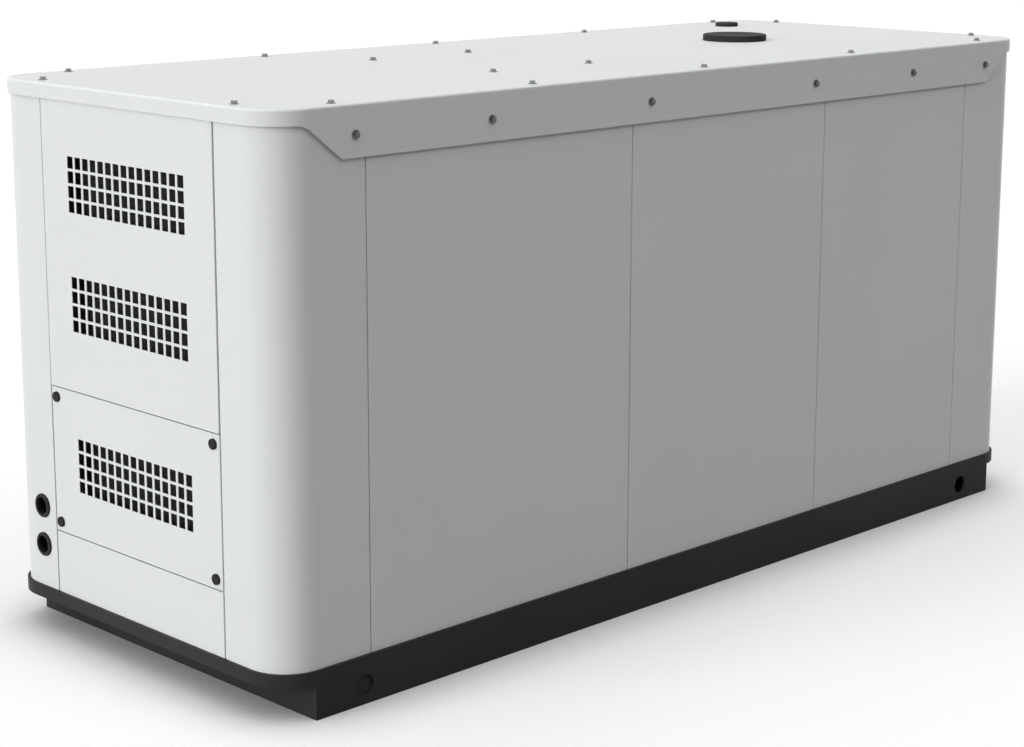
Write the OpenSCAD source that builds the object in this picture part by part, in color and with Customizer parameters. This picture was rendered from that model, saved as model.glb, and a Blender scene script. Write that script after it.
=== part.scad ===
// Standby diesel generator in a weatherproof sheet-metal enclosure on a skid base.
// Millimetres, +Z up. The origin is on the ground under the middle of the enclosure.
// The cable-entry end faces -X, and the front long side faces -Y.

/* [Enclosure] */
// Length over the corner posts
body_length = 2460; // [2200:10:3000]
// Width over the side panels
body_width = 928; // [860:2:1200]
// Outer radius of the four upright corners
corner_radius = 90; // [70:1:95]
// Height of the roof's top face above the ground
roof_height = 1190; // [1150:5:1500]
// Thickness of the enclosure's sheet metal
sheet = 1.5; // [1:0.25:2]
// Depth of the turned-in edges of panels and posts
return_depth = 20; // [14:1:36]
// Open seam between neighbouring panels of the long sides
seam_gap = 2; // [1:0.5:4]
// Inner bend radius along the upright edges of panels and posts
edge_bend = 0.5; // [0.5:0.25:2.5]

/* [Long sides] */
// Left corner posts, measured along the long side
left_post_width = 228; // [200:1:260]
// Right corner posts, measured along the long side
right_post_width = 246; // [200:1:260]
// Left side panel
left_panel_width = 750; // [600:1:800]
// Middle side panel
middle_panel_width = 665; // [500:1:700]

/* [Ends] */
// Corner posts, measured along the end
end_post_width = 174; // [165:1:200]
// Open upright seam beside the panels of the ends
end_seam_gap = 3.5; // [2:0.5:6]
// Open level seam above and below the access panel
access_gap = 3; // [2:0.5:6]
// Lower edge of the access panel above the tray
access_panel_rise = 136; // [110:1:160]
// Height of the access panel
access_panel_height = 317; // [280:1:340]
// Gap between the face of the upper end panel and the skirt of the roof
skirt_gap = 3.25; // [0.5:0.25:3.5]

/* [Vent grilles] */
// Slots side by side in one grille
slot_columns = 15; // [9:1:17]
// Slots above each other in one grille
slot_rows = 4; // [2:1:5]
// Width of one slot
slot_width = 20; // [12:0.1:21]
// Height of one slot
slot_height = 24.7; // [16:0.1:27]
// Spacing of the slots across the panel
slot_pitch_across = 26.7; // [22:0.1:30]
// Spacing of the slots up the panel
slot_pitch_up = 30.3; // [28:0.1:34]
// Gap between the stiles and the acoustic pads behind them
pad_clearance = 2; // [1:0.5:20]
// How far an acoustic pad reaches past the sides and top of its grille
pad_margin = 3; // [1:1:20]
// How far an acoustic pad reaches below its grille
pad_drop = 16; // [1:1:30]
// Thickness of the acoustic pads
pad_depth = 82; // [50:1:120]
// Gap between the baffle that carries the pads and the stiles beside it
baffle_clearance = 23; // [4:1:30]

/* [Access panel knobs] */
// Diameter of a quarter-turn knob
knob_diameter = 22; // [16:1:28]
// How far a knob stands off the panel
knob_height = 5; // [3:0.5:10]
// Middle of a knob from the panel's upright edges
knob_inset_across = 19; // [16:1:30]
// Middle of a knob from the access panel's seams
knob_inset_up = 22; // [18:1:30]

/* [Cable grommets] */
// Outer diameter of a grommet
grommet_diameter = 52; // [50:1:58]
// Bore of a grommet
grommet_bore = 38; // [24:1:40]
// Diameter of the neck that sits in the corner post
grommet_neck = 46; // [43:1:48]
// How far a grommet stands off the post
grommet_height = 5; // [3:0.5:12]
// Middle of the grommets from the back of the enclosure
grommet_inset = 125; // [120:1:138]
// Lower grommet above the tray
grommet_rise = 93; // [60:1:120]
// Spacing of the two grommets
grommet_spacing = 86; // [64:1:120]

/* [Roof] */
// How far the roof's skirts stand out past the enclosure
roof_overhang = 6; // [5:0.5:10]
// Outer bend radius along the roof's top edge
roof_bend_radius = 5; // [4:0.5:14]
// Depth of the skirt at the ends
end_skirt = 32; // [24:1:40]
// Depth of the apron along the long sides
side_skirt = 102; // [90:1:130]
// Start of the apron's slope from the end of the enclosure
slope_start = 76; // [60:1:120]
// Length of the apron's slope along the enclosure
slope_length = 88; // [70:1:140]
// Radius of the slope's upper bend
slope_upper_radius = 50; // [10:1:60]
// Radius of the slope's lower bend
slope_lower_radius = 13; // [5:1:30]

/* [Roof caps] */
// Diameter of the exhaust cap
exhaust_cap_diameter = 160; // [120:1:200]
// Height of the exhaust cap
exhaust_cap_height = 15; // [8:0.5:20]
// Middle of the exhaust cap from the right end
exhaust_cap_inset = 592; // [400:1:900]
// Diameter of the filler cap
filler_cap_diameter = 61; // [40:1:80]
// Height of the filler cap
filler_cap_height = 10; // [8:0.5:16]
// Middle of the filler cap from the right end
filler_cap_inset = 237; // [200:1:400]
// Middle of the filler cap from the back
filler_cap_back_inset = 141; // [120:1:250]

/* [Base] */
// Height of the skid rails
skid_height = 73; // [66:1:100]
// Height of the tray's turned-down edge
tray_edge = 27; // [20:1:40]
// How far the tray stands out past the enclosure
tray_overhang = 7; // [7:1:15]
// Thickness of the tray's plate and edge
tray_plate = 5; // [3:0.5:8]
// Ends of the skid inside the ends of the enclosure
skid_end_inset = 80; // [40:1:110]
// Wall of the skid's channels
channel_wall = 6; // [4:0.5:8]
// Flange width of the skid's channels
channel_flange = 50; // [40:1:70]
// Distance of a crossmember from the middle of the skid
crossmember_offset = 400; // [250:5:600]
// Diameter of the lifting holes
lift_hole_diameter = 45; // [30:1:48]
// Middle of a lifting hole from the end of the enclosure
lift_hole_inset = 205; // [190:1:260]
// Middle of a lifting hole above the ground
lift_hole_rise = 40; // [34:1:40]

/* [Hidden] */
$fn = 96;
// Cuts run past the faces that they open by this much
overrun = 10;
// Straight pieces in each bend of the apron's lower edge
bend_steps = 10;
// Radial room round a grommet's neck
neck_clearance = 0.3;
// Width and depth of the stiles behind the seams
stile_width = 44;
stile_depth = 16;
// Middles of the upper panel's grilles, as shares of the height from the access panel to the roof's end skirt
grille_rise_shares = [0.719, 0.3075];
// Inner lip of a grommet behind the post
grommet_lip = 4;
// Edge radius of a moulded grommet, knob and cap
grommet_edge = 2.5;
knob_edge = 1.2;
cap_edge = 2.5;
// Round on the upright edges of the skid's end plates, as a share of their thickness
plate_edge_share = 0.5;
// Plate that closes a lifting hole from inside
cover_length = 130;
cover_plate = 4;

half_length = body_length / 2;
half_width = body_width / 2;
tray_top = skid_height + tray_edge;
roof_under = roof_height - sheet;
wall_height = roof_under - tray_top;
// Outer bend radius along the upright edges
edge_radius = sheet + edge_bend;
right_panel_width = body_length - left_post_width - right_post_width - left_panel_width - middle_panel_width;
// Seams along a long side, from the left end
side_seams = [
    left_post_width,
    left_post_width + left_panel_width,
    left_post_width + left_panel_width + middle_panel_width,
    body_length - right_post_width
];
end_panel_width = body_width - 2 * end_post_width - end_seam_gap;
// The upper end panel stands proud of the posts, up to the roof's skirt
upper_panel_proud = roof_overhang - sheet - skirt_gap;
access_base = tray_top + access_panel_rise;
access_top = access_base + access_panel_height;
// Middles of the grilles in the upper panel, and of the one in the access panel
upper_grilles = [for (share = grille_rise_shares) access_top + share * (roof_height - end_skirt - access_top)];
access_grille = (access_base + access_top) / 2;
// Distances of the acoustic pads and the baffle behind the corner posts' end faces
pad_setback = return_depth + stile_depth + pad_clearance;
baffle_setback = pad_setback + pad_depth;
baffle_width = body_width - 2 * end_post_width - stile_width - 2 * baffle_clearance;
grille_width = (slot_columns - 1) * slot_pitch_across + slot_width;
grille_height = (slot_rows - 1) * slot_pitch_up + slot_height;
skid_width = body_width + 2 * tray_overhang;
skid_length = body_length - 2 * skid_end_inset;
roof_corner = corner_radius + roof_overhang;
roof_length_straight = body_length - 2 * corner_radius;
roof_width_straight = body_width - 2 * corner_radius;

enclosure_colour = "#dfe2e1";
base_colour = "#26282a";
plastic_colour = "#1b1c1d";
baffle_colour = "#2d2f30";
inner_steel_colour = "#8f9496";

// Rectangle with round corners, centred
module rounded_rectangle(length, width, radius) {
    square([length - 2 * radius, width], center = true);
    square([length, width - 2 * radius], center = true);
    for (x = [-1, 1], y = [-1, 1])
        translate([x * (length / 2 - radius), y * (width / 2 - radius)])
            circle(radius);
}

// Rectangle from the origin, with round corners on its y = 0 side
module front_rounded(width, depth, radius) {
    translate([0, radius])
        square([width, depth - radius]);
    translate([radius, 0])
        square([width - 2 * radius, depth]);
    for (x = [radius, width - radius])
        translate([x, radius])
            circle(radius);
}

// Quarter of a bend in sheet metal, in the +X +Y quarter round its axis
module sheet_bend(outer) {
    intersection() {
        difference() {
            circle(outer);
            circle(outer - sheet);
        }
        square(outer);
    }
}

// Shallow sheet-metal pan: face at y = 0, edges turned in towards +Y, the upright ones round a bend
module pan(width, height, depth) {
    difference() {
        linear_extrude(height)
            front_rounded(width, depth, edge_radius);
        translate([sheet, sheet, sheet])
            linear_extrude(height - 2 * sheet)
                front_rounded(width - 2 * sheet, depth, edge_bend);
    }
}

// Channel along +X with its web at y = 0, open towards +Y
module channel(length, flange, height, wall) {
    rotate([90, 0, 90])
        linear_extrude(length)
            difference() {
                square([flange, height]);
                translate([wall, wall])
                    square([flange, height - 2 * wall]);
            }
}

// Turned disc on z = 0 with a rounded upper edge
module rounded_disc(radius, height, edge) {
    rotate_extrude()
        union() {
            square([radius - edge, height]);
            square([radius, height - edge]);
            translate([radius - edge, height - edge])
                intersection() {
                    circle(edge);
                    square(edge);
                }
        }
}

// Points on an arc from one angle to another
function arc(middle, radius, from, to) = [
    for (i = [0 : bend_steps])
        let (angle = from + (to - from) * i / bend_steps)
        middle + radius * [cos(angle), sin(angle)]
];

// Skid rail at the front, with its two lifting holes
module skid_rail() {
    rail_length = skid_length - 2 * channel_wall;
    color(base_colour)
        difference() {
            translate([-rail_length / 2, -skid_width / 2, 0])
                channel(rail_length, channel_flange, skid_height, channel_wall);
            for (side = [-1, 1])
                translate([side * (half_length - lift_hole_inset), -skid_width / 2 - overrun, lift_hole_rise])
                    rotate([-90, 0, 0])
                        cylinder(d = lift_hole_diameter, h = channel_wall + 2 * overrun);
        }
}

// Member across the left end of the skid: a plate over the rails' ends with flanges between the rails
module skid_end_member() {
    flange_width = skid_width - 2 * channel_flange;
    color(base_colour)
        translate([-skid_length / 2, 0, 0])
            union() {
                translate([0, skid_width / 2, 0])
                    rotate([0, 0, -90])
                        linear_extrude(skid_height)
                            front_rounded(skid_width, channel_wall, channel_wall * plate_edge_share);
                for (z = [0, skid_height - channel_wall])
                    translate([0, -flange_width / 2, z])
                        cube([channel_flange, flange_width, channel_wall]);
            }
}

// Crossmember between the rails' webs, held inside their flanges
module skid_crossmember() {
    member_length = skid_width - 2 * channel_wall;
    color(base_colour)
        translate([-crossmember_offset, -member_length / 2, channel_wall])
            mirror([1, 0, 0])
                rotate([0, 0, 90])
                    channel(member_length, channel_flange, skid_height - 2 * channel_wall, channel_wall);
}

// Plate that closes the front rail's left lifting hole from inside
module lift_hole_cover() {
    color(base_colour)
        translate([
            -half_length + lift_hole_inset - cover_length / 2,
            -skid_width / 2 + channel_wall,
            channel_wall
        ])
            cube([cover_length, cover_plate, skid_height - 2 * channel_wall]);
}

// Tray under the enclosure, with its edge turned down all round
module base_tray() {
    length = body_length + 2 * tray_overhang;
    radius = corner_radius + tray_overhang;
    color(base_colour)
        translate([0, 0, skid_height])
            difference() {
                linear_extrude(tray_edge)
                    rounded_rectangle(length, skid_width, radius);
                translate([0, 0, -overrun])
                    linear_extrude(tray_edge - tray_plate + overrun)
                        rounded_rectangle(
                            length - 2 * tray_plate,
                            skid_width - 2 * tray_plate,
                            radius - tray_plate
                        );
            }
}

// Area behind the two faces of a rounded corner, moved in by a distance
module corner_area(along_side, along_end, inset) {
    translate([corner_radius, inset])
        square([along_side - corner_radius, along_end - inset]);
    translate([inset, corner_radius])
        square([along_side - inset, along_end - corner_radius]);
    translate([corner_radius, corner_radius])
        circle(corner_radius - inset);
}

// Bent corner post at the front left, with its edges turned in at both seams
module corner_post(side_width) {
    along_side = side_width - seam_gap / 2;
    along_end = end_post_width - end_seam_gap / 2;
    translate([-half_length, -half_width, tray_top])
        linear_extrude(wall_height)
            union() {
                difference() {
                    corner_area(along_side - edge_radius, along_end - edge_radius, 0);
                    corner_area(along_side + overrun, along_end + overrun, sheet);
                }
                translate([along_side - sheet, edge_radius])
                    square([sheet, return_depth - edge_radius]);
                translate([edge_radius, along_end - sheet])
                    square([return_depth - edge_radius, sheet]);
                translate([along_side - edge_radius, edge_radius])
                    rotate(-90)
                        sheet_bend(edge_radius);
                translate([edge_radius, along_end - edge_radius])
                    rotate(90)
                        sheet_bend(edge_radius);
            }
}

module corner_post_front_left() {
    color(enclosure_colour) corner_post(left_post_width);
}

module corner_post_front_right() {
    color(enclosure_colour) mirror([1, 0, 0]) corner_post(right_post_width);
}

// The back left post has the two holes for the cable grommets
module corner_post_back_left() {
    color(enclosure_colour)
        difference() {
            mirror([0, 1, 0]) corner_post(left_post_width);
            for (step = [0, 1])
                translate([-half_length - overrun, half_width - grommet_inset, grommet_level(step)])
                    rotate([0, 90, 0])
                        cylinder(d = grommet_neck + 2 * neck_clearance, h = sheet + 2 * overrun);
        }
}

module corner_post_back_right() {
    color(enclosure_colour) mirror([1, 0, 0]) mirror([0, 1, 0]) corner_post(right_post_width);
}

// Height of a cable grommet, 0 for the lower one and 1 for the upper one
function grommet_level(step) = tray_top + grommet_rise + step * grommet_spacing;

// Panel of the front side between two seams
module side_panel(start, width) {
    color(enclosure_colour)
        translate([start - half_length + seam_gap / 2, -half_width, tray_top])
            pan(width - seam_gap, wall_height, return_depth);
}

// Stile standing behind a seam, its front against the turned-in edges, open towards +Y
module stile() {
    color(inner_steel_colour)
        translate([-stile_width / 2, return_depth, tray_top])
            linear_extrude(wall_height)
                difference() {
                    square([stile_width, stile_depth]);
                    translate([sheet, sheet])
                        square([stile_width - 2 * sheet, stile_depth]);
                }
}

module side_stiles() {
    for (seam = side_seams)
        translate([seam - half_length, -half_width, 0])
            stile();
}

// Puts a shape that faces -Y, drawn about x = 0, on the left end face of the posts
module on_left_end() {
    translate([-half_length, 0, 0])
        rotate([0, 0, -90])
            children();
}

module end_stiles() {
    on_left_end()
        for (side = [-1, 1])
            translate([side * (half_width - end_post_width), 0, 0])
                stile();
}

// Slots of one grille, as cuts through the face of an end panel
module grille_slots(middle) {
    for (column = [0 : slot_columns - 1], row = [0 : slot_rows - 1])
        translate([
            (column - (slot_columns - 1) / 2) * slot_pitch_across - slot_width / 2,
            -overrun,
            middle + (row - (slot_rows - 1) / 2) * slot_pitch_up - slot_height / 2
        ])
            cube([slot_width, sheet + 2 * overrun, slot_height]);
}

// Plain end panel between two levels, proud of the posts by the given amount
module end_pan(bottom, top, proud) {
    translate([-end_panel_width / 2, -proud, bottom])
        pan(end_panel_width, top - bottom, return_depth + proud);
}

// Upper end panel with two grilles, its top behind the roof's skirt
module end_upper_panel() {
    color(enclosure_colour)
        on_left_end()
            difference() {
                end_pan(access_top + access_gap / 2, roof_under, upper_panel_proud);
                for (middle = upper_grilles)
                    grille_slots(middle);
            }
}

// Lift-off access panel with one grille
module end_access_panel() {
    color(enclosure_colour)
        on_left_end()
            difference() {
                end_pan(access_base + access_gap / 2, access_top - access_gap / 2, 0);
                grille_slots(access_grille);
            }
}

module end_lower_panel() {
    color(enclosure_colour)
        on_left_end()
            end_pan(tray_top, access_base - access_gap / 2, 0);
}

// The four low quarter-turn knobs at the corners of the access panel
module access_knobs() {
    across = end_panel_width / 2 - knob_inset_across;
    color(plastic_colour)
        on_left_end()
            for (side = [-1, 1], level = [access_base + knob_inset_up, access_top - knob_inset_up])
                translate([side * across, 0, level])
                    rotate([90, 0, 0])
                        rounded_disc(knob_diameter / 2, knob_height, knob_edge);
}

// Dark baffle from the tray to the roof, with an acoustic pad behind each grille
module end_baffle() {
    pad_width = grille_width + 2 * pad_margin;
    pad_height = grille_height + pad_margin + pad_drop;
    color(baffle_colour)
        on_left_end()
            union() {
                translate([-baffle_width / 2, baffle_setback, tray_top])
                    pan(baffle_width, wall_height, return_depth);
                for (middle = concat(upper_grilles, access_grille))
                    translate([-pad_width / 2, pad_setback, middle - grille_height / 2 - pad_drop])
                        cube([pad_width, pad_depth, pad_height]);
            }
}

// Section through the roof's edge: plate, bend and skirt, measured from the corner's axis
module roof_section() {
    union() {
        translate([0, -sheet])
            square([roof_corner - roof_bend_radius, sheet]);
        translate([roof_corner - roof_bend_radius, -roof_bend_radius])
            sheet_bend(roof_bend_radius);
        translate([roof_corner - sheet, -side_skirt])
            square([sheet, side_skirt - roof_bend_radius]);
    }
}

// Everything under the lower edge at the left end: shallow end skirt, slope and apron
module skirt_cut() {
    upper = roof_height - end_skirt;
    lower = roof_height - side_skirt;
    angle = atan2(upper - lower, slope_length);
    upper_tangent = slope_upper_radius * tan(angle / 2);
    lower_tangent = slope_lower_radius * tan(angle / 2);
    slope_end = slope_start + slope_length;
    reach = roof_overhang + overrun;
    outline = concat(
        [[-reach, upper]],
        arc([slope_start - upper_tangent, upper - slope_upper_radius], slope_upper_radius, 90, 90 - angle),
        arc([slope_end + lower_tangent, lower + slope_lower_radius], slope_lower_radius, 270 - angle, 270),
        [[slope_end + lower_tangent, lower - overrun], [-reach, lower - overrun]]
    );
    depth = body_width + 2 * (roof_overhang + overrun);
    translate([-half_length, depth / 2, 0])
        rotate([90, 0, 0])
            linear_extrude(depth)
                polygon(outline);
}

// Roof lid: flat plate with a formed edge, short skirts at the ends and deep aprons along the sides
module roof() {
    color(enclosure_colour)
        difference() {
            union() {
                translate([-roof_length_straight / 2, -roof_width_straight / 2, roof_under])
                    cube([roof_length_straight, roof_width_straight, sheet]);
                for (side = [0, 1]) {
                    mirror([0, side, 0])
                        translate([-roof_length_straight / 2, roof_width_straight / 2, roof_height])
                            rotate([90, 0, 90])
                                linear_extrude(roof_length_straight)
                                    roof_section();
                    mirror([side, 0, 0])
                        translate([roof_length_straight / 2, roof_width_straight / 2, roof_height])
                            rotate([90, 0, 0])
                                linear_extrude(roof_width_straight)
                                    roof_section();
                    for (end = [0, 1])
                        mirror([end, 0, 0])
                            mirror([0, side, 0])
                                translate([roof_length_straight / 2, roof_width_straight / 2, roof_height])
                                    rotate_extrude(angle = 90)
                                        roof_section();
                }
            }
            skirt_cut();
            mirror([1, 0, 0]) skirt_cut();
        }
}

// Round cap over the exhaust outlet
module exhaust_cap() {
    color(plastic_colour)
        translate([half_length - exhaust_cap_inset, 0, roof_height])
            rounded_disc(exhaust_cap_diameter / 2, exhaust_cap_height, cap_edge);
}

// Small cap over the filler
module filler_cap() {
    color(plastic_colour)
        translate([half_length - filler_cap_inset, half_width - filler_cap_back_inset, roof_height])
            rounded_disc(filler_cap_diameter / 2, filler_cap_height, cap_edge);
}

// Moulded cable grommet: outer ring, neck through the post, and inner lip
module cable_grommet(level) {
    ring_radius = grommet_diameter / 2;
    bore_radius = grommet_bore / 2;
    neck_radius = grommet_neck / 2;
    color(plastic_colour)
        translate([-half_length, half_width - grommet_inset, level])
            rotate([0, -90, 0])
                difference() {
                    union() {
                        rounded_disc(ring_radius, grommet_height, grommet_edge);
                        translate([0, 0, -sheet])
                            cylinder(r = neck_radius, h = sheet);
                        translate([0, 0, -sheet - grommet_lip])
                            cylinder(r = ring_radius, h = grommet_lip);
                    }
                    translate([0, 0, -sheet - grommet_lip - overrun])
                        cylinder(r = bore_radius, h = grommet_lip + sheet + grommet_height + 2 * overrun);
                }
}

skid_rail();  // skid_rail_front
mirror([0, 1, 0]) skid_rail();  // skid_rail_back
skid_end_member();  // skid_end_member_left
mirror([1, 0, 0]) skid_end_member();  // skid_end_member_right
skid_crossmember();  // skid_crossmember_left
mirror([1, 0, 0]) skid_crossmember();  // skid_crossmember_right
lift_hole_cover();  // lift_hole_cover_front
mirror([0, 1, 0]) lift_hole_cover();  // lift_hole_cover_back
base_tray();
corner_post_front_left();
corner_post_front_right();
corner_post_back_left();
corner_post_back_right();
side_panel(side_seams[0], left_panel_width);  // front_panel_left
side_panel(side_seams[1], middle_panel_width);  // front_panel_middle
side_panel(side_seams[2], right_panel_width);  // front_panel_right
mirror([0, 1, 0]) side_panel(side_seams[0], left_panel_width);  // back_panel_left
mirror([0, 1, 0]) side_panel(side_seams[1], middle_panel_width);  // back_panel_middle
mirror([0, 1, 0]) side_panel(side_seams[2], right_panel_width);  // back_panel_right
side_stiles();  // front_stiles
mirror([0, 1, 0]) side_stiles();  // back_stiles
end_stiles();  // left_end_stiles
mirror([1, 0, 0]) end_stiles();  // right_end_stiles
end_upper_panel();  // left_end_upper_panel
end_access_panel();  // left_end_access_panel
end_lower_panel();  // left_end_lower_panel
mirror([1, 0, 0]) end_upper_panel();  // right_end_upper_panel
mirror([1, 0, 0]) end_access_panel();  // right_end_access_panel
mirror([1, 0, 0]) end_lower_panel();  // right_end_lower_panel
access_knobs();  // left_access_knobs
mirror([1, 0, 0]) access_knobs();  // right_access_knobs
end_baffle();  // left_end_baffle
mirror([1, 0, 0]) end_baffle();  // right_end_baffle
roof();
exhaust_cap();
filler_cap();
cable_grommet(grommet_level(1));  // upper_cable_grommet
cable_grommet(grommet_level(0));  // lower_cable_grommet
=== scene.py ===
"""Studio dressing of a standby diesel generator in a sheet-metal enclosure on a skid base.

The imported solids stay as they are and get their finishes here. The bolts of the roof and its aprons
are added as pieces of their own. Lengths are in metres, +Z is up, the cable-entry end faces -X and
the front long side faces -Y.
"""

import logging
import math
from collections.abc import Iterable
from dataclasses import dataclass, field
from enum import Enum

import bmesh
import bpy
from mathutils import Euler, Matrix, Vector


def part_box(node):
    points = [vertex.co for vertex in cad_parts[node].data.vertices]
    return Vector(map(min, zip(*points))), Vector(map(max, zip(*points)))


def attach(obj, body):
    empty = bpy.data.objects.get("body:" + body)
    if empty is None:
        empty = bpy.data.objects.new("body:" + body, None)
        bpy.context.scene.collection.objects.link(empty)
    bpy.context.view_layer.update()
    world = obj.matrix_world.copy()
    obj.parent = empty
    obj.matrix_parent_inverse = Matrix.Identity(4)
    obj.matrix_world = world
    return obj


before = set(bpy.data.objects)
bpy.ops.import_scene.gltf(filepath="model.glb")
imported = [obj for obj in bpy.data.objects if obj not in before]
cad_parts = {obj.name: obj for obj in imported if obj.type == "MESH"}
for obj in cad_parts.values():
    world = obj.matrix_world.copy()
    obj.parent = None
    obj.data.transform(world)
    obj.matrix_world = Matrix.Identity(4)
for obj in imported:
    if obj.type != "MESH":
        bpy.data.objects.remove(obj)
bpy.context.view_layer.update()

log = logging.getLogger("generator")

Colour = tuple[float, float, float]
Point = tuple[float, float, float]
Span = tuple[float, float]

# Values that a noise pattern mostly keeps to, and the whole range
NOISE_SPAN: Span = (0.3, 0.7)
FULL_SPAN: Span = (0.0, 1.0)

WHITE: Colour = (1.0, 1.0, 1.0)
OPAQUE = 1.0

# Quarter turn in degrees, and the dot product of opposite directions
QUARTER_TURN = 90.0
OPPOSITE = -1.0


class Slot(Enum):
    """Material slots of the record."""

    PAINT = "enclosure_paint"
    BASE = "base_black"
    ZINC = "zinc_steel"
    LINING = "baffle_dark"
    PLASTIC = "black_plastic"
    RUBBER = "grommet_rubber"


class Facing(Enum):
    """Direction in which a bolt's head stands off the sheet, as the turn from +Z."""

    UP = (0.0, 0.0, 0.0)
    FRONT = (math.pi / 2, 0.0, 0.0)
    BACK = (-math.pi / 2, 0.0, 0.0)

    def turn(self) -> Matrix:
        """Rotation that takes +Z to this direction."""
        return Euler(self.value).to_matrix().to_4x4()


class SurfaceGraph:
    """Node tree of one finish, with its patterns on Object coordinates."""

    def __init__(self, name: str) -> None:
        """Start a material with a principled shader.

        Args:
            name: Name of the material.
        """
        self.material = bpy.data.materials.new(name)
        self.material.use_nodes = True
        self.tree = self.material.node_tree
        self.shader = self.tree.nodes["Principled BSDF"]
        self.place = self.tree.nodes.new("ShaderNodeTexCoord").outputs["Object"]

    def noise(self, size: float, detail: float) -> bpy.types.NodeSocket:
        """Add a noise pattern.

        Args:
            size: Width of one patch of the pattern.
            detail: Number of finer layers in it.

        Returns:
            The pattern's value, about 0.5 on average and mostly within NOISE_SPAN.
        """
        pattern = self.tree.nodes.new("ShaderNodeTexNoise")
        pattern.inputs["Scale"].default_value = 1.0 / size
        pattern.inputs["Detail"].default_value = detail
        self.tree.links.new(self.place, pattern.inputs["Vector"])
        return pattern.outputs["Fac"]

    def cells(self, size: float) -> bpy.types.NodeSocket:
        """Add a pattern of round cells.

        Args:
            size: Width of one cell.

        Returns:
            The distance from the nearest cell's middle.
        """
        pattern = self.tree.nodes.new("ShaderNodeTexVoronoi")
        pattern.inputs["Scale"].default_value = 1.0 / size
        self.tree.links.new(self.place, pattern.inputs["Vector"])
        return pattern.outputs["Distance"]

    def spread(self, value: bpy.types.NodeSocket, source: Span,
               target: Span) -> bpy.types.NodeSocket:
        """Map a pattern's values to another span.

        Args:
            value: Pattern to map.
            source: Lowest and highest value of the pattern that counts.
            target: Values that they become.

        Returns:
            The mapped value.
        """
        remap = self.tree.nodes.new("ShaderNodeMapRange")
        remap.inputs["From Min"].default_value, remap.inputs["From Max"].default_value = source
        remap.inputs["To Min"].default_value, remap.inputs["To Max"].default_value = target
        self.tree.links.new(value, remap.inputs["Value"])
        return remap.outputs["Result"]

    def tint(self, value: bpy.types.NodeSocket, dark: Colour, light: Colour) -> None:
        """Colour the surface between two tones.

        Args:
            value: Pattern from 0, dark, to 1, light.
            dark: Darker tone.
            light: Lighter tone.
        """
        mix = self.tree.nodes.new("ShaderNodeMix")
        mix.data_type = "RGBA"
        mix.inputs["A"].default_value = (*dark, OPAQUE)
        mix.inputs["B"].default_value = (*light, OPAQUE)
        self.tree.links.new(value, mix.inputs["Factor"])
        self.tree.links.new(mix.outputs["Result"], self.shader.inputs["Base Color"])

    def roughen(self, value: bpy.types.NodeSocket) -> None:
        """Drive the surface's roughness by a pattern."""
        self.tree.links.new(value, self.shader.inputs["Roughness"])

    def emboss(self, value: bpy.types.NodeSocket, depth: float) -> None:
        """Raise the surface by a pattern.

        Args:
            value: Height pattern from 0 to 1.
            depth: Height of the pattern.
        """
        bump = self.tree.nodes.new("ShaderNodeBump")
        bump.inputs["Distance"].default_value = depth
        self.tree.links.new(value, bump.inputs["Height"])
        self.tree.links.new(bump.outputs["Normal"], self.shader.inputs["Normal"])

    def fix(self, socket: str, value: float) -> None:
        """Set one socket of the shader to a value that holds all over the surface."""
        self.shader.inputs[socket].default_value = value


def shade(colour: Colour, factor: float) -> Colour:
    """Scale a colour's brightness.

    Args:
        colour: Colour to scale.
        factor: Brightness factor.

    Returns:
        The scaled colour.
    """
    return tuple(channel * factor for channel in colour)


@dataclass(frozen=True)
class PowderCoat:
    """Baked powder paint: a faint cloud of tones and a fine orange peel."""

    colour: Colour
    roughness: Span
    specular: float
    tone: float = 0.012
    cloud_size: float = 0.45
    cloud_detail: float = 3.0
    gloss_size: float = 0.075
    gloss_detail: float = 4.0
    peel_size: float = 0.0035
    peel_detail: float = 1.0
    peel_depth: float = 0.00004

    def material(self, name: str) -> bpy.types.Material:
        """Build the finish.

        Args:
            name: Name of the material.

        Returns:
            The material.
        """
        graph = SurfaceGraph(name)
        cloud = graph.noise(self.cloud_size, self.cloud_detail)
        graph.tint(graph.spread(cloud, NOISE_SPAN, FULL_SPAN),
                   shade(self.colour, 1.0 - self.tone), shade(self.colour, 1.0 + self.tone))
        gloss = graph.noise(self.gloss_size, self.gloss_detail)
        graph.roughen(graph.spread(gloss, NOISE_SPAN, self.roughness))
        graph.emboss(graph.noise(self.peel_size, self.peel_detail), self.peel_depth)
        graph.fix("Specular IOR Level", self.specular)
        return graph.material


@dataclass(frozen=True)
class ZincPlate:
    """Zinc-plated steel with a mottled passivation."""

    # Tones held dark so the stiles behind the seams read as dark lines and the apron bolts as dark
    # heads: partly painted shade, the shaded copy beside the roof bolts' lighter zinc.
    dark: Colour = (0.10, 0.103, 0.107)
    light: Colour = (0.17, 0.174, 0.178)
    roughness: Span = (0.30, 0.45)
    metal: float = 0.9
    mottle_size: float = 0.004
    mottle_detail: float = 3.0
    grain_size: float = 0.0008
    grain_detail: float = 2.0
    grain_depth: float = 0.00003

    def material(self, name: str) -> bpy.types.Material:
        """Build the finish.

        Args:
            name: Name of the material.

        Returns:
            The material.
        """
        graph = SurfaceGraph(name)
        noise = graph.noise(self.mottle_size, self.mottle_detail)
        mottle = graph.spread(noise, NOISE_SPAN, FULL_SPAN)
        graph.tint(mottle, self.dark, self.light)
        graph.roughen(graph.spread(mottle, FULL_SPAN, self.roughness))
        graph.emboss(graph.noise(self.grain_size, self.grain_detail), self.grain_depth)
        graph.fix("Metallic", self.metal)
        return graph.material


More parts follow.
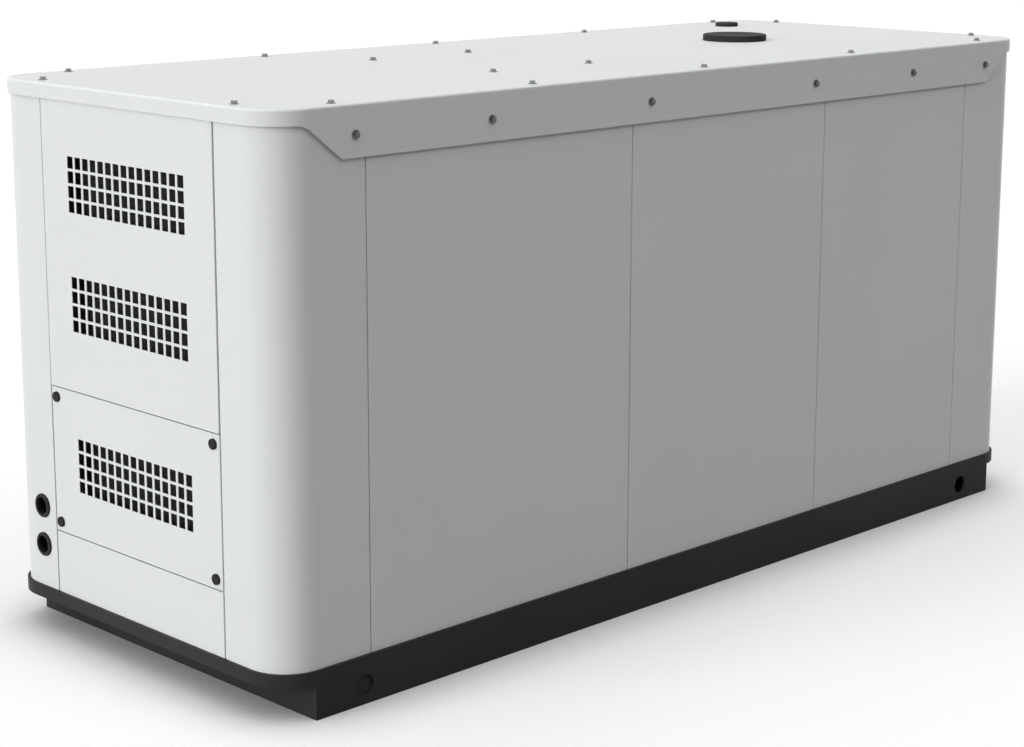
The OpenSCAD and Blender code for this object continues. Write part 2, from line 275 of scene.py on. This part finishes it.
@dataclass(frozen=True)
class AcousticFoam:
    """Open-cell foam of the pads behind the grilles."""

    dark: Colour = (0.010, 0.011, 0.011)
    light: Colour = (0.034, 0.035, 0.035)
    roughness: float = 0.95
    specular: float = 0.1
    cell_size: float = 0.004
    cell_span: Span = (0.1, 0.7)
    cell_depth: float = 0.0012

    def material(self, name: str) -> bpy.types.Material:
        """Build the finish.

        Args:
            name: Name of the material.

        Returns:
            The material.
        """
        graph = SurfaceGraph(name)
        cells = graph.spread(graph.cells(self.cell_size), self.cell_span, FULL_SPAN)
        graph.tint(cells, self.dark, self.light)
        graph.emboss(cells, self.cell_depth)
        graph.fix("Roughness", self.roughness)
        graph.fix("Specular IOR Level", self.specular)
        return graph.material


@dataclass(frozen=True)
class Moulding:
    """Moulded polymer with a fine grained skin."""

    dark: Colour
    light: Colour
    roughness: Span
    specular: float
    grain_size: float = 0.0012
    grain_detail: float = 1.0
    grain_depth: float = 0.00005
    bloom_size: float = 0.03
    bloom_detail: float = 4.0

    def material(self, name: str) -> bpy.types.Material:
        """Build the finish.

        Args:
            name: Name of the material.

        Returns:
            The material.
        """
        graph = SurfaceGraph(name)
        noise = graph.noise(self.bloom_size, self.bloom_detail)
        bloom = graph.spread(noise, NOISE_SPAN, FULL_SPAN)
        graph.tint(bloom, self.dark, self.light)
        graph.roughen(graph.spread(bloom, FULL_SPAN, self.roughness))
        graph.emboss(graph.noise(self.grain_size, self.grain_detail), self.grain_depth)
        graph.fix("Specular IOR Level", self.specular)
        return graph.material


@dataclass
class Palette:
    """The finishes of the generator, one material for each slot."""

    paint: PowderCoat = PowderCoat(
        colour=(0.715, 0.738, 0.720), roughness=(0.44, 0.54), specular=0.36)
    base: PowderCoat = PowderCoat(
        colour=(0.035, 0.035, 0.035), roughness=(0.38, 0.48), specular=0.06, tone=0.12)
    zinc: ZincPlate = ZincPlate()
    lining: AcousticFoam = AcousticFoam()
    plastic: Moulding = Moulding(
        dark=(0.028, 0.028, 0.028), light=(0.036, 0.036, 0.036), roughness=(0.50, 0.62),
        specular=0.03)
    rubber: Moulding = Moulding(
        dark=(0.014, 0.014, 0.014), light=(0.020, 0.020, 0.020), roughness=(0.50, 0.62),
        specular=0.2)
    merge_distance: float = 1e-6
    sharp_angle: float = math.radians(35.0)
    materials: dict[Slot, bpy.types.Material] = field(default_factory=dict)

    def mix(self) -> None:
        """Build the material of every slot."""
        finishes = {
            Slot.PAINT: self.paint,
            Slot.BASE: self.base,
            Slot.ZINC: self.zinc,
            Slot.LINING: self.lining,
            Slot.PLASTIC: self.plastic,
            Slot.RUBBER: self.rubber,
        }
        for slot, finish in finishes.items():
            self.materials[slot] = finish.material(slot.value)

    def coat(self, nodes: Iterable[str], slot: Slot) -> None:
        """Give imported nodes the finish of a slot.

        Args:
            nodes: Names of the nodes.
            slot: Slot that they take their finish from.
        """
        for name in nodes:
            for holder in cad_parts[name].material_slots:
                holder.material = self.materials[slot]
            log.info("%s: %s", name, slot.value)

    def add_piece(self, name: str, mesh: bmesh.types.BMesh, slot: Slot,
                  finish: bpy.types.Material | None = None) -> None:
        """Turn a finished mesh into a piece of the generator.

        Args:
            name: Name of the piece.
            mesh: Its shape, which is freed.
            slot: Slot that it belongs to.
            finish: Its material, or None for the slot's own.
        """
        bmesh.ops.remove_doubles(mesh, verts=mesh.verts, dist=self.merge_distance)
        bmesh.ops.recalc_face_normals(mesh, faces=mesh.faces)
        data = bpy.data.meshes.new(name)
        mesh.to_mesh(data)
        mesh.free()
        data.shade_smooth()
        data.set_sharp_from_angle(angle=self.sharp_angle)
        data.materials.append(finish or self.materials[slot])
        piece = bpy.data.objects.new(name, data)
        bpy.context.scene.collection.objects.link(piece)
        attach(piece, "root")
        log.info("%s: %d faces, %s", name, len(data.polygons), slot.value)


@dataclass(frozen=True)
class FlangeBolt:
    """Head of an M8 hexagon flange bolt, standing on z = 0."""

    across_flats: float = 0.0110
    flange_radius: float = 0.0096
    rim_height: float = 0.0012
    cone_height: float = 0.0013
    head_height: float = 0.0068
    chamfer: float = 0.0008
    chamfer_steps: int = 2
    chamfer_profile: float = 0.5
    dish_border: float = 0.0014
    dish_depth: float = 0.0004
    hexagon_sides: int = 6
    round_steps: int = 32

    def add_head(self, mesh: bmesh.types.BMesh, place: Matrix) -> None:
        """Add one head to a mesh.

        Args:
            mesh: Mesh that gets the head.
            place: Where it stands and how it is turned.
        """
        known = set(mesh.verts)
        self._add_flange(mesh)
        self._add_hexagon(mesh)
        new = [vert for vert in mesh.verts if vert not in known]
        bmesh.ops.transform(mesh, matrix=place, verts=new)

    def _add_flange(self, mesh: bmesh.types.BMesh) -> None:
        """Spin the flange from its half section, with a sloped top."""
        top = self.rim_height + self.cone_height
        section = [
            Vector((0.0, 0.0, 0.0)),
            Vector((self.flange_radius, 0.0, 0.0)),
            Vector((self.flange_radius, 0.0, self.rim_height)),
            Vector((self.across_flats / 2, 0.0, top)),
            Vector((0.0, 0.0, top)),
        ]
        verts = [mesh.verts.new(point) for point in section]
        edges = [mesh.edges.new(pair) for pair in zip(verts, verts[1:])]
        bmesh.ops.spin(mesh, geom=verts + edges, cent=(0, 0, 0), axis=(0, 0, 1),
                       angle=math.tau, steps=self.round_steps, use_merge=True)

    def _add_hexagon(self, mesh: bmesh.types.BMesh) -> None:
        """Raise the hexagon, chamfer its top and press a shallow dish into it."""
        corner = self.across_flats / math.sqrt(3.0)
        base = bmesh.ops.create_circle(mesh, cap_ends=True, radius=corner,
                                       segments=self.hexagon_sides)
        bmesh.ops.translate(mesh, vec=(0, 0, self.rim_height), verts=base["verts"])
        bottom = base["verts"][0].link_faces[0]
        raised = bmesh.ops.extrude_face_region(mesh, geom=[bottom], use_keep_orig=True)
        lifted = [item for item in raised["geom"] if isinstance(item, bmesh.types.BMVert)]
        top = next(item for item in raised["geom"] if isinstance(item, bmesh.types.BMFace))
        bmesh.ops.translate(mesh, vec=(0, 0, self.head_height - self.rim_height), verts=lifted)
        bmesh.ops.inset_region(mesh, faces=[top], thickness=self.dish_border,
                               depth=-self.dish_depth)
        rim = [edge for edge in mesh.edges
               if edge.verts[0] in lifted and edge.verts[1] in lifted]
        bmesh.ops.bevel(mesh, geom=rim, offset=self.chamfer, segments=self.chamfer_steps,
                        profile=self.chamfer_profile, affect="EDGES", material=-1)


@dataclass
class SkidBase:
    """Black skid of channels, and the tray on it."""

    skid: tuple[str, ...] = (
        "skid_rail_front", "skid_rail_back", "skid_end_member_left", "skid_end_member_right",
        "skid_crossmember_left", "skid_crossmember_right",
        "lift_hole_cover_front", "lift_hole_cover_back",
    )
    tray: str = "base_tray"

    def dress(self, palette: Palette) -> None:
        """Coat the skid and the tray."""
        palette.coat((*self.skid, self.tray), Slot.BASE)


@dataclass
class Walls:
    """Painted posts and panels of the long sides and ends, with the stiles behind their seams."""

    posts: tuple[str, ...] = (
        "corner_post_front_left", "corner_post_front_right",
        "corner_post_back_left", "corner_post_back_right",
    )
    side_panels: tuple[str, ...] = (
        "front_panel_left", "front_panel_middle", "front_panel_right",
        "back_panel_left", "back_panel_middle", "back_panel_right",
    )
    end_panels: tuple[str, ...] = (
        "left_end_upper_panel", "left_end_access_panel", "left_end_lower_panel",
        "right_end_upper_panel", "right_end_access_panel", "right_end_lower_panel",
    )
    stiles: tuple[str, ...] = ("front_stiles", "back_stiles", "left_end_stiles", "right_end_stiles")

    def dress(self, palette: Palette) -> None:
        """Paint the walls and plate the stiles."""
        palette.coat((*self.posts, *self.side_panels, *self.end_panels), Slot.PAINT)
        palette.coat(self.stiles, Slot.ZINC)


@dataclass
class EndFittings:
    """Knobs, cable grommets and the dark lining of the vented ends."""

    knobs: tuple[str, ...] = ("left_access_knobs", "right_access_knobs")
    grommets: tuple[str, ...] = ("upper_cable_grommet", "lower_cable_grommet")
    baffles: tuple[str, ...] = ("left_end_baffle", "right_end_baffle")

    def dress(self, palette: Palette) -> None:
        """Finish the moulded fittings and the lining."""
        palette.coat(self.knobs, Slot.PLASTIC)
        palette.coat(self.grommets, Slot.RUBBER)
        palette.coat(self.baffles, Slot.LINING)


@dataclass
class Roof:
    """Painted roof lid with its caps and bolts."""

    lid: str = "roof"
    caps: tuple[str, ...] = ("exhaust_cap", "filler_cap")
    bolt: FlangeBolt = FlangeBolt()
    # Lighter copy of the bolts' zinc for the roof: painted light, standing in for the bright sky that
    # the roof bolts catch and mirror.
    roof_zinc_painted_light: ZincPlate = ZincPlate(
        dark=(0.24, 0.247, 0.257), light=(0.41, 0.419, 0.428))
    row_edge_distance: float = 0.034
    row_bolts: tuple[float, ...] = (-1.0625, -0.528, 0.009, 0.5435, 1.068)
    end_edge_distance: float = 0.035
    left_end_bolts: tuple[float, ...] = (-0.321, 0.321)
    right_end_bolts: tuple[float, ...] = (-0.330, 0.317)
    frame_bolts: tuple[float, ...] = (-0.406, -0.108)
    frame_bolt_spread: float = 0.196
    apron_bolts: tuple[float, ...] = (-1.032, -0.675, -0.201, 0.367, 0.750, 1.059)
    apron_bolt_drop: float = 0.0585
    clocking: float = math.radians(137.5)

    def build(self, palette: Palette) -> None:
        """Add the bolts of the roof and of both aprons."""
        low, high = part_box(self.lid)
        top = high.z
        row = high.y - self.row_edge_distance
        end = high.x - self.end_edge_distance
        spots = [Vector((x, side * row, top)) for side in (-1, 1) for x in self.row_bolts]
        spots += [Vector((-end, y, top)) for y in self.left_end_bolts]
        spots += [Vector((end, y, top)) for y in self.right_end_bolts]
        spots += [Vector((x, side * self.frame_bolt_spread, top))
                  for side in (-1, 1) for x in self.frame_bolts]
        # The roof bolts take the lighter zinc copy, whose tones are painted light.
        self._add_bolts(palette, "roof_bolts", spots, Facing.UP,
                        self.roof_zinc_painted_light.material("roof_zinc_painted_light"))
        level = top - self.apron_bolt_drop
        for name, face, facing in (("front_apron_bolts", low.y, Facing.FRONT),
                                   ("back_apron_bolts", high.y, Facing.BACK)):
            spots = [Vector((x, face, level)) for x in self.apron_bolts]
            self._add_bolts(palette, name, spots, facing)

    def _add_bolts(self, palette: Palette, name: str, spots: list[Vector], facing: Facing,
                   finish: bpy.types.Material | None = None) -> None:
        """Add one group of bolts, each turned to an angle of its own.

        Args:
            palette: Finishes of the generator.
            name: Name of the piece.
            spots: Where the bolts stand.
            facing: Direction in which their heads point.
            finish: Their material, or None for the zinc of the palette.
        """
        mesh = bmesh.new()
        for number, spot in enumerate(spots):
            clock = Matrix.Rotation(number * self.clocking, 4, "Z")
            self.bolt.add_head(mesh, Matrix.Translation(spot) @ facing.turn() @ clock)
        palette.add_piece(name, mesh, Slot.ZINC, finish)

    def dress(self, palette: Palette) -> None:
        """Paint the lid and finish the caps."""
        palette.coat((self.lid,), Slot.PAINT)
        palette.coat(self.caps, Slot.PLASTIC)


@dataclass(frozen=True)
class Lamp:
    """Distant soft lamp, given by the direction that its light comes from, in degrees."""

    name: str
    heading: float
    height: float
    strength: float
    spread: float
    mirrored: bool

    def hang(self) -> None:
        """Add the lamp to the scene."""
        data = bpy.data.lights.new(self.name, "SUN")
        data.energy = self.strength
        data.angle = math.radians(self.spread)
        lamp = bpy.data.objects.new(self.name, data)
        lamp.visible_glossy = self.mirrored
        lamp.rotation_euler = (math.radians(QUARTER_TURN - self.height), 0.0,
                               math.radians(QUARTER_TURN + self.heading))
        bpy.context.scene.collection.objects.link(lamp)


@dataclass
class Studio:
    """Plain white studio: floor, lamps, surroundings and camera."""

    floor_reach: float = 40.0
    floor_sides: int = 64
    floor_seen: float = 1.0
    floor_bounce: float = 0.26
    floor_lift: float = 0.05
    # Painted contact shadow: near the object the floor's seen colour falls to this tone, over this
    # reach
    painted_shadow_tone: float = 0.41
    painted_shadow_reach: float = 0.16
    ambient: float = 0.05
    backdrop_heading: float = 110.0
    room_tone: float = 0.30
    side_lamp: Lamp = Lamp(
        "side_lamp", heading=170.0, height=6.5, strength=3.16, spread=45.0,
        mirrored=False)
    top_lamp: Lamp = Lamp(
        "top_lamp", heading=180.0, height=88.0, strength=2.22, spread=125.0,
        mirrored=True)
    front_lamp: Lamp = Lamp(
        "front_lamp", heading=285.0, height=50.0, strength=0.20, spread=30.0,
        mirrored=True)
    rim_lamp: Lamp = Lamp(
        "rim_lamp", heading=12.0, height=1.0, strength=2.6, spread=10.0,
        mirrored=False)
    camera_place: Point = (-3.7374, -3.6241, 1.6393)
    camera_tilt: float = 78.676
    camera_roll: float = -0.1035
    camera_heading: float = -44.656
    lens: float = 78.056
    rise: float = -0.0684

    def set_up(self) -> None:
        """Lay the floor, light the room and place the camera."""
        bpy.context.scene.view_settings.view_transform = "Standard"
        self._lay_floor()
        self._surround()
        for lamp in (self.side_lamp, self.top_lamp, self.front_lamp, self.rim_lamp):
            lamp.hang()
        self._place_camera()

    @staticmethod
    def _is_ray(tree: bpy.types.NodeTree, first: str, *others: str) -> bpy.types.NodeSocket:
        """Tell some kinds of ray from the rest.

        Args:
            tree: Node tree that gets the test.
            first: Kind of ray that passes.
            others: Further kinds that pass.

        Returns:
            1 for the named kinds of ray, else 0.
        """
        path = tree.nodes.new("ShaderNodeLightPath")
        total = path.outputs[first]
        for kind in others:
            either = tree.nodes.new("ShaderNodeMath")
            either.operation = "MAXIMUM"
            tree.links.new(total, either.inputs[0])
            tree.links.new(path.outputs[kind], either.inputs[1])
            total = either.outputs["Value"]
        return total

    def _lay_floor(self) -> None:
        """Lay a white floor that keeps the object's cast shadow, darkened near the object by a
        painted contact shadow.
        """
        mesh = bmesh.new()
        bmesh.ops.create_circle(mesh, cap_ends=True, radius=self.floor_reach,
                                segments=self.floor_sides)
        data = bpy.data.meshes.new("studio_floor")
        mesh.to_mesh(data)
        mesh.free()
        material = bpy.data.materials.new("studio_floor")
        material.use_nodes = True
        tree = material.node_tree
        tree.nodes.clear()
        seen = self._is_ray(tree, "Is Camera Ray", "Is Glossy Ray", "Is Transmission Ray")
        # Painted shadow: ambient occlusion darkens the floor's seen colour near the object, beyond
        # the shadows that the lamps cast
        reach = tree.nodes.new("ShaderNodeAmbientOcclusion")
        reach.inputs["Distance"].default_value = self.painted_shadow_reach
        contact = tree.nodes.new("ShaderNodeMapRange")
        contact.inputs["To Min"].default_value = self.painted_shadow_tone
        contact.inputs["To Max"].default_value = self.floor_seen
        tone = tree.nodes.new("ShaderNodeMapRange")
        tone.inputs["To Min"].default_value = self.floor_bounce
        tree.links.new(reach.outputs["AO"], contact.inputs["Value"])
        tree.links.new(contact.outputs["Result"], tone.inputs["To Max"])
        lift = tree.nodes.new("ShaderNodeMapRange")
        lift.inputs["To Max"].default_value = self.floor_lift
        matt = tree.nodes.new("ShaderNodeBsdfDiffuse")
        glow = tree.nodes.new("ShaderNodeEmission")
        both = tree.nodes.new("ShaderNodeAddShader")
        output = tree.nodes.new("ShaderNodeOutputMaterial")
        tree.links.new(seen, tone.inputs["Value"])
        tree.links.new(seen, lift.inputs["Value"])
        tree.links.new(tone.outputs["Result"], matt.inputs["Color"])
        tree.links.new(lift.outputs["Result"], glow.inputs["Strength"])
        tree.links.new(matt.outputs["BSDF"], both.inputs[0])
        tree.links.new(glow.outputs["Emission"], both.inputs[1])
        tree.links.new(both.outputs["Shader"], output.inputs["Surface"])
        data.materials.append(material)
        floor = bpy.data.objects.new("studio_floor", data)
        bpy.context.scene.collection.objects.link(floor)

    def _surround(self) -> None:
        """Surround the object with even light, white to the eye and graded in reflections."""
        world = bpy.data.worlds.new("studio")
        bpy.context.scene.world = world
        world.use_nodes = True
        tree = world.node_tree
        tree.nodes.clear()
        heading = math.radians(self.backdrop_heading)
        towards = tree.nodes.new("ShaderNodeVectorMath")
        towards.operation = "DOT_PRODUCT"
        towards.inputs[1].default_value = (math.cos(heading), math.sin(heading), 0.0)
        around = tree.nodes.new("ShaderNodeTexCoord")
        tree.links.new(around.outputs["Generated"], towards.inputs[0])
        reflected = tree.nodes.new("ShaderNodeMapRange")
        reflected.inputs["From Min"].default_value = OPPOSITE
        reflected.inputs["To Min"].default_value = self.room_tone
        tree.links.new(towards.outputs["Value"], reflected.inputs["Value"])
        level = tree.nodes.new("ShaderNodeMapRange")
        level.inputs["To Min"].default_value = self.ambient
        tree.links.new(self._is_ray(tree, "Is Glossy Ray"), level.inputs["Value"])
        tree.links.new(reflected.outputs["Result"], level.inputs["To Max"])
        shown = tree.nodes.new("ShaderNodeMapRange")
        seen = self._is_ray(tree, "Is Camera Ray", "Is Transmission Ray")
        tree.links.new(seen, shown.inputs["Value"])
        tree.links.new(level.outputs["Result"], shown.inputs["To Min"])
        sky = tree.nodes.new("ShaderNodeBackground")
        sky.inputs["Color"].default_value = (*WHITE, OPAQUE)
        output = tree.nodes.new("ShaderNodeOutputWorld")
        tree.links.new(shown.outputs["Result"], sky.inputs["Strength"])
        tree.links.new(sky.outputs["Background"], output.inputs["Surface"])

    def _place_camera(self) -> None:
        """Set the camera to the photograph's view."""
        data = bpy.data.cameras.new("camera")
        data.lens = self.lens
        data.shift_y = self.rise
        camera = bpy.data.objects.new("camera", data)
        camera.location = self.camera_place
        turns = (self.camera_tilt, self.camera_roll, self.camera_heading)
        camera.rotation_euler = [math.radians(angle) for angle in turns]
        bpy.context.scene.collection.objects.link(camera)
        bpy.context.scene.camera = camera


def main() -> None:
    """Build and dress the generator, then set up the studio."""
    logging.basicConfig(level=logging.INFO, format="%(name)s: %(message)s")
    palette = Palette()
    palette.mix()
    roof = Roof()
    roof.build(palette)
    for group in (SkidBase(), Walls(), EndFittings(), roof):
        group.dress(palette)
    Studio().set_up()


if __name__ == "__main__":
    main()
